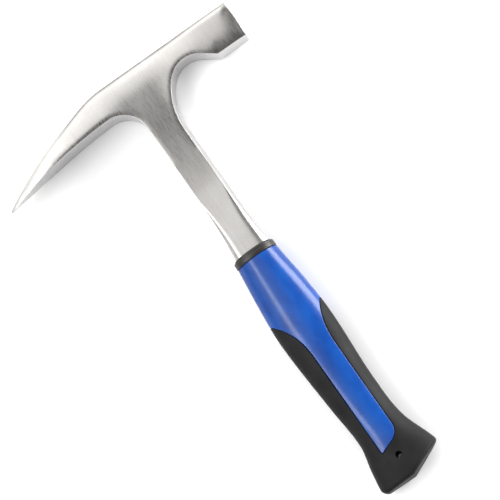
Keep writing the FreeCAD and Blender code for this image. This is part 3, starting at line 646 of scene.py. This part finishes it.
def turnAtX(y, x):
    # the turn, on the near face, that lies over a given x
    low, high = np.zeros_like(y), np.full_like(y, 180.0)
    for _ in range(40):
        mid = (low + high) / 2
        at, _ = ovalAt(y, mid)
        low = np.where(at > x, mid, low)
        high = np.where(at > x, high, mid)
    return (low + high) / 2


def quarterLength(y):
    # the way round the grip from its near middle line to its silhouette
    left, right, half = gripSection(y)
    end, _, face, split = ovalParts((left + right) / 2, half, grip["crown"])
    return end * split + face * (math.pi / 2 - split)


def gripPoint(flat, depth):
    # flat holds distances round the grip from its near middle line, and heights
    s, y = flat[:, 0], flat[:, 1]

    def spot(ds, dy):
        x, z = ovalAt(y + dy, 90 - 90 * (s + ds) / quarterLength(y + dy))
        return np.column_stack((x, y + dy, z))

    here = spot(0, 0)
    tiny = 0.02
    normal = np.cross(spot(tiny, 0) - spot(-tiny, 0), spot(0, tiny) - spot(0, -tiny))
    normal /= np.linalg.norm(normal, axis=1)[:, None]
    return here - normal * np.asarray(depth)[:, None]


def flatPoint(turn, y):
    return np.column_stack(((90 - turn) / 90 * quarterLength(y), y))


def buttHeight(x):
    # the end of the butt rises to the right of a short flat
    g = grip
    slope = g["buttRise"] / (g["buttCorner"] - g["buttFlat"])
    rise = np.clip(x - g["buttFlat"], 0, None) * slope
    left = g["stations"][-1][1]
    corner = np.clip(g["leftCorner"] - left - x, 0, g["leftCorner"])
    return rise + g["leftCorner"] - np.sqrt(g["leftCorner"] ** 2 - corner ** 2)


def windowEnd(x):
    g = grip
    slope = g["windowRise"] / (g["windowLeft"] + g["windowRight"])
    return g["windowLow"] + (x + g["windowLeft"]) * slope


def shoulderLine(side):
    # the rubber's upper edge, from the silhouette to the straight edge of the window
    g = grip
    edge = g["windowRight"] if side > 0 else g["windowLeft"]
    out, rise = g["shoulderOut"] - edge, g["coverTop"] - g["shoulderEnd"]
    reach = (out ** 2 + rise ** 2) / (2 * out)
    last = float(turnAtX(np.array([g["shoulderEnd"]]), side * edge)[0])
    turn = np.linspace(0 if side > 0 else 180, last, 34)
    low, high = np.full(len(turn), g["shoulderEnd"]), np.full(len(turn), g["coverTop"])
    for _ in range(40):
        y = (low + high) / 2
        x, _ = ovalAt(y, turn)
        arc = edge + reach - np.sqrt(reach ** 2 - (y - g["shoulderEnd"]) ** 2)
        inside = arc < side * x
        low = np.where(inside, y, low)
        high = np.where(inside, high, y)
    return flatPoint(turn, (low + high) / 2)


def roundCorner(before, corner, after, radius):
    a = (np.array(before) - corner) / math.dist(before, corner)
    b = (np.array(after) - corner) / math.dist(after, corner)
    half = math.acos(np.clip(a @ b, -1, 1)) / 2
    reach = radius / math.tan(half)
    hub = corner + (a + b) / np.linalg.norm(a + b) * radius / math.sin(half)
    start, end = corner + a * reach, corner + b * reach
    first, last = angleTo(hub, start), angleTo(hub, end)
    turn = (last - first + 180) % 360 - 180
    return arcPoints(hub, radius, first, first + turn, 0.5)


def windowOutline():
    # from the left silhouette, round the window, to the right silhouette
    g = grip
    left, right = -g["windowLeft"], g["windowRight"]
    tip, heel = np.array((left, windowEnd(left))), np.array((right, windowEnd(right)))
    top = g["shoulderEnd"]
    point = roundCorner((left, top), tip, heel, g["tipRadius"])
    bend = roundCorner(tip, heel, (right, top), g["windowCorner"])
    run = chain([
        linePoints((left, top), point[0], 0.9)[1:],
        point,
        linePoints(point[-1], bend[0], 0.9),
        bend,
        linePoints(bend[-1], (right, top), 0.9)[:-1],
    ])
    turn = turnAtX(run[:, 1], run[:, 0])
    sides = flatPoint(turn, run[:, 1])
    line = evenly(np.vstack((shoulderLine(-1), sides, shoulderLine(1)[::-1])), g["outlineStep"])
    # the shoulders flow into the straight sides
    below, times = g["shoulderEase"]
    upper = (line[:, 1] > top - below)[:, None]
    for _ in range(times):
        eased = line.copy()
        eased[1:-1] = (line[:-2] + 2 * line[1:-1] + line[2:]) / 4
        line = np.where(upper, eased, line)
    return line


def evenly(line, step):
    # the same line, with its points no further apart than the step
    pieces = [line[:1]]
    for start, end in zip(line[:-1], line[1:]):
        count = max(1, math.ceil(math.dist(start, end) / step))
        pieces.append(start + (end - start) * (np.arange(1, count + 1) / count)[:, None])
    return np.vstack(pieces)


def endLine(height, count=110):
    # the line round the near half, right to left, where the grip meets a height that depends on x
    turn = np.linspace(0, 180, count)
    y = np.full(count, 5.0)
    for _ in range(30):
        x, _ = ovalAt(y, turn)
        y = height(x)
    return flatPoint(turn, y)


def sideLine(turn, low, high):
    count = max(2, int(abs(high - low) / 1.5))
    y = np.linspace(low, high, count + 1)
    return flatPoint(np.full(len(y), float(turn)), y)


def dropDistance(radius, distance):
    # how far a rounded edge falls away at a distance from the edge
    near = np.clip(radius - distance, 0, radius)
    return radius - np.sqrt(radius ** 2 - near ** 2)


def fillDomain(loop, chains, rings, spacing=1.6, hole=None):
    # triangles inside the loop, keeping each chain as edges, with rings of points beside them
    loop, count = np.asarray(loop), len(loop)
    edges = [(n, (n + 1) % count) for n in range(count)]
    fixed = [loop]
    start = count
    for line in chains:
        edges += [(start + n, start + n + 1) for n in range(len(line) - 1)]
        start += len(line)
        fixed.append(line)
    if hole is not None:
        edges += [(start + n, start + (n + 1) % len(hole)) for n in range(len(hole))]
        fixed.append(hole)
    solid = np.vstack(fixed)
    low, high = loop.min(axis=0), loop.max(axis=0)
    gridS, gridY = np.meshgrid(
        np.arange(low[0], high[0], spacing), np.arange(low[1], high[1], spacing)
    )
    gridS[1::2] += spacing / 2
    extra = [np.column_stack((gridS.ravel(), gridY.ravel()))]
    gap = np.full(len(extra[0]), 1e9)
    for line in fixed:
        gap = np.minimum(gap, distanceTo(extra[0], line, closed=line is loop)[0])
    keep = gap > spacing * 0.55
    for line, steps in rings:
        near = distanceTo(extra[0], line, closed=False)[0]
        keep &= near > max(steps) + spacing * 0.5
    extra[0] = extra[0][keep]
    for line, steps in rings:
        way = np.gradient(line, axis=0)
        way /= np.hypot(*way.T)[:, None]
        aside = np.column_stack((-way[:, 1], way[:, 0]))
        for step in steps:
            ring = line + aside * step
            gap = np.full(len(ring), 1e9)
            for other in fixed:
                gap = np.minimum(gap, distanceTo(ring, other, closed=other is loop)[0])
            extra.append(ring[gap > abs(step) * 0.9])
    extra = np.vstack(extra)
    extra = extra[insideLoop(extra, loop)]
    spots, _, faces, _, _, _ = delaunay_2d_cdt(
        [Vector(p) for p in np.vstack((solid, extra))], edges, [list(range(count))], 1, 1e-6
    )
    spots = np.array([tuple(p) for p in spots])
    faces = np.array([f for f in faces if len(f) == 3])
    if hole is not None:
        middle = spots[faces].mean(axis=1)
        faces = faces[~insideLoop(middle, hole)]
    return spots, faces


class Shell:
    # gathers points and faces, near half and mirrored far half together
    def __init__(self):
        self.points = []
        self.faces = []

    def add(self, points, faces, mirror=True):
        for sign in ((1, -1) if mirror else (1,)):
            start = len(self.points)
            # points on the silhouette lie exactly between the halves
            self.points += [(p[0], p[1], p[2] * sign if abs(p[2]) > 0.01 else 0.0) for p in points]
            self.faces += [[start + n for n in face] for face in faces]

    def strip(self, rings, closed=False, mirror=True):
        # quads between rows of points
        rows, wide = len(rings), len(rings[0])
        points = np.vstack(rings)
        faces = []
        for row in range(rows - 1):
            for n in range(wide if closed else wide - 1):
                m = (n + 1) % wide
                faces.append([
                    row * wide + n, row * wide + m, (row + 1) * wide + m, (row + 1) * wide + n
                ])
        self.add(points, faces, mirror)


def allAt(line, depth):
    # the line laid on the grip at one depth
    return gripPoint(line, np.full(len(line), float(depth)))


def acrossCap(line, steps):
    # rows that close the near edge to the far edge, in even steps of z
    return [line * (1, 1, share) for share in np.linspace(1, -1, steps + 1)]


def makeCover():
    g = grip
    outline = windowOutline()
    butt = endLine(buttHeight)
    inner = endLine(lambda x: windowEnd(x) - g["lap"])
    wall = g["coverThick"]

    holeTurn = np.radians(np.arange(0, 360, 12))
    holeX = g["holeX"] + g["holeRadius"] * np.cos(holeTurn)
    holeY = g["holeY"] + g["holeRadius"] * np.sin(holeTurn)
    hole = flatPoint(turnAtX(holeY, holeX), holeY)
    around = np.vstack((hole, hole[:1]))

    def sheetLoop(low):
        # from the window's outline round by a lower line
        return chain([
            outline, sideLine(0, outline[-1][1], low[0][1]),
            low, sideLine(180, low[-1][1], outline[0][1]),
        ])

    # outer sheet, with rounded rims
    rim, end = g["rim"], g["buttRounding"]
    rings = [
        (outline, [-step * rim for step in (0.12, 0.3, 0.55, 0.8, 1.1)]),
        (butt, [-step * end for step in (0.05, 0.15, 0.3, 0.5, 0.75, 1.0, 1.35)]),
        (around, [-step for step in (0.1, 0.3, 0.55, 0.9)]),
    ]
    spots, faces = fillDomain(sheetLoop(butt), [], rings, 1.6, hole)
    depth = dropDistance(rim, distanceTo(spots, outline, closed=False)[0])
    depth += dropDistance(end, distanceTo(spots, butt, closed=False)[0])
    depth += dropDistance(g["holeRim"], distanceTo(spots, hole)[0])
    shell = Shell()
    shell.add(gripPoint(spots, depth), faces)

    # end face, bore, inner sheet and the wall of the window
    shell.strip(acrossCap(allAt(butt, end), 8), mirror=False)
    centre = (g["holeX"], g["holeY"])
    rows = acrossCap(allAt(hole, g["holeRim"]), 10)
    for n, row in enumerate(rows):
        waist = 1 - g["holeWaist"] * (1 - (n / 5 - 1) ** 2)      # drafted towards the middle
        row[:, :2] = centre + (row[:, :2] - centre) * waist
    shell.strip(rows, closed=True, mirror=False)
    spots, faces = fillDomain(sheetLoop(inner), [], [], 2.2)
    shell.add(allAt(spots, wall), faces)
    shell.strip(acrossCap(allAt(inner, wall), 6), mirror=False)
    shell.strip([allAt(outline, depth) for depth in np.linspace(rim, wall, 4)])
    return newPiece(
        "rubberCover", shell.points, shell.faces, rubberLook, ["rubber_cover"], 40
    )


def rolledRing(halfWidth, halfThick, rollWidth, rollDepth, turn):
    # a flat bar with rolled corners, met by rays from its middle
    fold = np.radians(turn)
    low, high = np.zeros(len(fold)), np.full(len(fold), 2 * halfWidth)
    for _ in range(40):
        reach = (low + high) / 2
        x, z = np.abs(reach * np.cos(fold)), np.abs(reach * np.sin(fold))
        past = np.clip(x - (halfWidth - rollWidth), 0, None) / rollWidth
        inside = (x < halfWidth) & (z < halfThick - rollDepth * past ** 2)
        low = np.where(inside, reach, low)
        high = np.where(inside, high, reach)
    return low * np.cos(fold), low * np.sin(fold)


def ringAt(flat, y):
    x, z = flat
    return np.column_stack((x, np.full(len(x), float(y)), z))


def makeBlueBody():
    g = grip
    outline = windowOutline()
    inner = endLine(lambda x: windowEnd(x) - g["lap"] + g["fit"])
    high = topY - g["topGap"]
    turn = np.linspace(0, 180, 110)
    top = flatPoint(turn, np.full(len(turn), high))
    loop = chain([
        top[::-1], sideLine(0, high, inner[0][1]), inner, sideLine(180, inner[-1][1], high),
    ])
    # the outline stands just inside the rubber's, and drops under it
    edge = clampEnds(shifted(outline, g["seam"]))
    foot = clampEnds(shifted(outline, g["seam"] * 0.3))
    groove = g["groove"]
    rings = [
        (edge, [step * groove for step in (0.15, 0.4, 0.7, 1.0, 1.6)]),
        (top, [0.25, 0.6]),
    ]
    spots, faces = fillDomain(loop, [edge, foot], rings, 1.5)
    gap, _ = distanceTo(spots, edge, closed=False)
    inWindow = aboveChain(spots, edge, loop)
    buried = g["coverThick"] + g["fit"]
    depth = np.where(inWindow | (gap < 1e-4), dropDistance(groove, gap), buried)
    rim = high - spots[:, 1]
    rounding = g["topRounding"]
    depth = depth + np.where(rim < 0.001, rounding, dropDistance(rounding, rim))
    shell = Shell()
    shell.add(gripPoint(spots, depth), faces)
    shell.strip(acrossCap(allAt(inner, buried), 6), mirror=False)

    # pocket for the sleeve
    s = sleeve
    roundTurn = np.concatenate((turn, turn[1:-1] + 180))
    near = allAt(top, rounding)
    rings = [np.vstack((near, near[::-1][1:-1] * (1, 1, -1)))]
    neck, body = [
        ovalRing(s[part + "Width"], s[part + "Thick"], s["crown"], roundTurn, s["fit"])
        for part in ("neck", "body")
    ]
    rings += [ringAt(neck, topY), ringAt(neck, s["stepTop"])]
    rings += [ringAt(body, y) for y in np.linspace(s["stepLow"], s["bottom"] - g["fit"], 8)]
    rings.append(rings[-1] * nearlyPoint)
    shell.strip(rings, closed=True, mirror=False)
    shell.add(rings[-1], [list(range(len(rings[-1])))], mirror=False)
    return newPiece(
        "blueGripBody", shell.points, shell.faces, blueLook, ["blue_grip_body"], 40
    )


def shifted(line, step):
    # the line moved to its left, towards the inside of the window
    way = np.gradient(line, axis=0)
    way /= np.hypot(*way.T)[:, None]
    return line + np.column_stack((-way[:, 1], way[:, 0])) * step


def clampEnds(line):
    # both ends stay on the silhouette, where the near half meets the far half
    line = line.copy()
    limit = quarterLength(line[:, 1])
    line[:, 0] = np.clip(line[:, 0], -limit, limit)
    line[0, 0], line[-1, 0] = -limit[0], limit[-1]
    return line


def aboveChain(spots, chainLine, loop):
    top = loop[:, 1].max() + 1
    wide = np.abs(loop[:, 0]).max() + 5
    region = np.vstack((
        [(-wide, chainLine[0][1])], chainLine, [(wide, chainLine[-1][1]), (wide, top), (-wide, top)]
    ))
    return insideLoop(spots, region)


sleeve = {
    "neckWidth": 12.2, "neckThick": 9.8, "bodyWidth": 9.8, "bodyThick": 5.8, "crown": 1.0,
    "lip": 158.75, "stepTop": 150.0, "stepLow": 147.0, "bottom": 28.0, "fit": 0.06,
}
nearlyPoint = (0.02, 1, 0.02)       # shrinks the last ring of a pocket before its cap
collar = {
    "low": 153.75, "high": 157.9, "stand": 0.2, "inner": -1.1, "rounding": 0.55,
    "grooveDrop": 1.15, "grooveDeep": 0.16, "lipInset": 0.1, "crown": 1.0,
}


def makeSleeve():
    s = sleeve
    turn = np.arange(0, 360, 3.0)
    outer = []
    lip = ovalRing(s["neckWidth"], s["neckThick"], s["crown"], turn, 0.0)
    angle = np.degrees(np.arctan2(lip[1], lip[0]))
    for offset, drop in ((-0.4, 0), (-0.12, 0.12), (0.0, 0.4)):
        ring = ovalRing(s["neckWidth"], s["neckThick"], s["crown"], turn, offset)
        outer.append(ringAt(ring, s["lip"] - drop))
    outer.append(ringAt(lip, s["stepTop"]))
    body = ovalRing(s["bodyWidth"], s["bodyThick"], s["crown"], turn)
    outer += [ringAt(body, y) for y in np.linspace(s["stepLow"], s["bottom"], 12)]
    outer.append(outer[-1] * nearlyPoint)
    k, fit = steel, s["fit"]
    seat = rolledRing(
        k["halfFlare"] + fit, k["halfFlat"] + fit, k["rollLeft"], k["rollDepth"], angle
    )
    tang = rolledRing(k["halfTang"] + fit, k["halfTangThick"] + fit, 1.0, 0.0, angle)
    low = k["seat"] - fit
    inner = [ringAt(seat, s["lip"]), ringAt(seat, low)]
    inner += [ringAt(tang, y) for y in np.linspace(low, k["tangEnd"] - grip["fit"], 10)]
    inner.append(inner[-1] * nearlyPoint)
    shell = Shell()
    shell.strip(outer, closed=True, mirror=False)
    shell.strip(inner, closed=True, mirror=False)
    shell.strip([outer[0], inner[0]], closed=True, mirror=False)
    for last in (outer[-1], inner[-1]):
        shell.add(last, [list(range(len(last)))], mirror=False)
    return newPiece(
        "sleeveLip", shell.points, shell.faces, collarLook, ["inner_sleeve"], 40
    )


def makeCollar():
    c = collar
    turn = np.arange(0, 360, 2.5)
    top = grip["stations"][0]
    high, low, stand, rounding = c["high"], c["low"], c["stand"], c["rounding"]

    def corner(edge, y, angle):
        a = math.radians(angle)
        return edge - rounding + rounding * math.cos(a), y + rounding * math.sin(a)

    # the ring's section: how far outside the grip's top, and the height
    profile = [(c["inner"], low), (stand - rounding, low)]
    profile += [corner(stand, low + rounding, angle) for angle in (-60, -30, 0)]
    drop = high - c["grooveDrop"]
    edge = stand - c["lipInset"]
    profile += [
        (stand, drop - 0.25), (stand - 0.04, drop - 0.12), (stand - c["grooveDeep"], drop),
        (stand - c["grooveDeep"], drop + 0.12), (edge, drop + 0.26),
    ]
    profile += [corner(edge, high - rounding, angle) for angle in (0, 25, 50, 75, 90)]
    profile.append((c["inner"], high))
    rings = [
        ringAt(ovalRing(top[1], top[3], c["crown"], turn, offset), y)
        for offset, y in profile + profile[:1]
    ]
    shell = Shell()
    shell.strip(rings, closed=True, mirror=False)
    return newPiece(
        "collarRing", shell.points, shell.faces, collarLook, ["collar_ring"], 40
    )


coverPiece = makeCover()
print("rubber cover", len(coverPiece.data.polygons), "faces")
bluePiece = makeBlueBody()
print("blue grip body", len(bluePiece.data.polygons), "faces")
makeSleeve()
makeCollar()
print("sleeve and collar ready")


# camera, floor and light

view = {
    "azimuth": 4.975, "tilt": 9.02, "roll": -35.06,     # degrees
    "distance": 2.239, "lens": 281.9, "sensor": 36, "clipEnd": 20,
    "target": (0.015115, 0.017489, 0.012),
}


def aimCamera():
    azimuth, tilt = math.radians(view["azimuth"]), math.radians(view["tilt"])
    back = Vector((
        math.sin(tilt) * math.sin(azimuth), -math.sin(tilt) * math.cos(azimuth), math.cos(tilt)
    ))
    right = (-back).cross(Vector((0, 1, 0))).normalized()
    up = right.cross(-back)
    roll = math.radians(view["roll"])
    level = right * math.cos(roll) + up * math.sin(roll)
    upright = up * math.cos(roll) - right * math.sin(roll)
    camera = bpy.data.objects.new("camera", bpy.data.cameras.new("camera"))
    camera.data.lens = view["lens"]
    camera.data.sensor_width = view["sensor"]
    camera.data.clip_end = view["clipEnd"]
    turn = Matrix((level, upright, back)).transposed()
    spot = Vector(view["target"]) + back * view["distance"]
    camera.matrix_world = Matrix.Translation(spot) @ turn.to_4x4()
    bpy.context.scene.collection.objects.link(camera)
    bpy.context.scene.camera = camera


ground = {"tone": (0.95, 0.95, 0.95), "roughness": 0.9, "specular": 0.1, "reach": 6}


def layFloor():
    look = Recipe("paleFloor")
    look.shader.inputs["Base Color"].default_value = (*ground["tone"], 1)
    look.shader.inputs["Roughness"].default_value = ground["roughness"]
    look.shader.inputs["Specular IOR Level"].default_value = ground["specular"]
    mesh = bpy.data.meshes.new("floor")
    far = ground["reach"]
    corners = [(-far, -far, 0), (far, -far, 0), (far, far, 0), (-far, far, 0)]
    mesh.from_pydata(corners, [], [(0, 1, 2, 3)])
    mesh.materials.append(look.material)
    floor = bpy.data.objects.new("floor", mesh)
    bpy.context.scene.collection.objects.link(floor)


# each light: direction in degrees (from straight up, and round from +x), distance, size, radiance
lights = {
    "backBox": ((50, 100), 1.6, (2.0, 1.2), 0.9),
    "leftStrip": ((34, 184), 1.5, (0.36, 1.4), 8.0),
    "rightBox": ((78, -4), 1.4, (0.60, 1.5), 15.0),
    "lowFill": ((66, 268), 1.7, (1.8, 0.9), 1.9),
}
studio = {
    "dark": 0.05, "bright": 1.56, "from": -0.03, "to": 0.22, "leaning": (-0.40, 0.92, 0.0),
    "skirt": 0.3, "skirtLow": 0.05, "skirtTop": 0.6,    # it darkens towards the floor line
    "tint": (1.0, 0.995, 0.985), "aim": (0.0, 0.02, 0.01),
}


def placeLights():
    aim = Vector(studio["aim"])
    for name, ((fromTop, fromRight), reach, size, radiance) in lights.items():
        a, b = math.radians(fromTop), math.radians(fromRight)
        lamp = bpy.data.lights.new(name, "AREA")
        lamp.shape = "RECTANGLE"
        lamp.size, lamp.size_y = size
        lamp.energy = radiance * math.pi * size[0] * size[1]
        holder = bpy.data.objects.new(name, lamp)
        way = Vector((math.sin(a) * math.cos(b), math.sin(a) * math.sin(b), math.cos(a)))
        # its long side runs along the hammer
        across = Vector((0, 1, 0)).cross(way).normalized()
        along = way.cross(across)
        turn = Matrix((across, along, way)).transposed()
        holder.matrix_world = Matrix.Translation(aim + way * reach) @ turn.to_4x4()
        bpy.context.scene.collection.objects.link(holder)
    world = bpy.data.worlds.new("studio")
    world.use_nodes = True
    nodes, links = world.node_tree.nodes, world.node_tree.links
    place = nodes.new("ShaderNodeTexCoord").outputs["Generated"]
    lean = nodes.new("ShaderNodeVectorMath")
    lean.operation = "DOT_PRODUCT"
    lean.inputs[1].default_value = studio["leaning"]
    links.new(place, lean.inputs[0])
    split = nodes.new("ShaderNodeSeparateXYZ")
    links.new(place, split.inputs[0])
    both = nodes.new("ShaderNodeMath")
    both.operation = "MULTIPLY"
    # one fade across the studio, and one from the floor line up
    for spot, source, start, end, low, high in (
        (0, lean.outputs["Value"], studio["from"], studio["to"], studio["dark"], studio["bright"]),
        (1, split.outputs["Z"], studio["skirtLow"], studio["skirtTop"], studio["skirt"], 1),
    ):
        fade = nodes.new("ShaderNodeMapRange")
        fade.interpolation_type = "SMOOTHSTEP"
        for name, value in (
            ("From Min", start), ("From Max", end), ("To Min", low), ("To Max", high)
        ):
            fade.inputs[name].default_value = value
        links.new(source, fade.inputs["Value"])
        links.new(fade.outputs["Result"], both.inputs[spot])
    nodes["Background"].inputs["Color"].default_value = (*studio["tint"], 1)
    links.new(both.outputs["Value"], nodes["Background"].inputs["Strength"])
    bpy.context.scene.world = world
    bpy.context.scene.view_settings.view_transform = "Standard"


aimCamera()
layFloor()
placeLights()
print("camera, floor and light ready")
